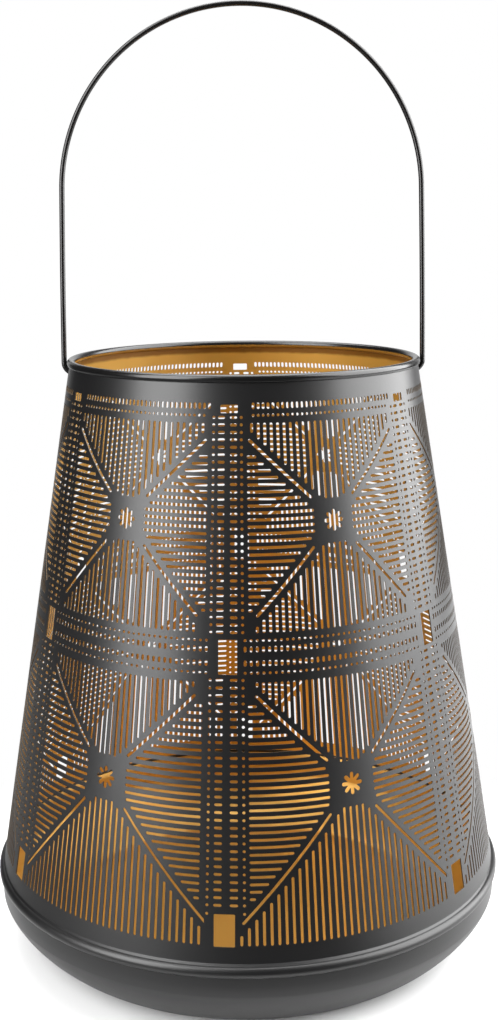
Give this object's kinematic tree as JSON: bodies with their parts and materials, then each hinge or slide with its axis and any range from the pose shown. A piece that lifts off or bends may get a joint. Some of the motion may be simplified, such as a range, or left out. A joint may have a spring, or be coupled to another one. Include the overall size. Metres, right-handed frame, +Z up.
{
  "type": "lantern",
  "caption": "Tapered pierced sheet-metal lantern, rolled wired rim, pressed base pan and a swinging round-rod handle; a candle stands inside on the pan.",
  "frame": {"origin": "centre of the pan's flat underside, on the surface that the lantern stands on", "axes": "+Z up along the shade's axis; the handle's hinge line runs along X; -Y is the side that the picture was taken from"},
  "size_m": [0.298, 0.298, 0.532],
  "materials": {
    "pierced_shade": "satin black outside, satin gold inside",
    "rim_wire": "plain drawn wire",
    "base_pan": "satin black outside, satin gold inside",
    "bail_handle": "satin black"
  },
  "bodies": {
    "body": {"pierced_shade": "pierced_shade", "rim_wire": "rim_wire", "base_pan": "base_pan"},
    "handle": {"bail_handle": "bail_handle"}
  },
  "joints": [
    {"name": "handle_swing", "type": "hinge", "parent": "body", "child": "handle", "pos_m": [0, 0, 0.33306], "axis": [1, 0, 0], "range_deg": [-128, 128]}
  ]
}
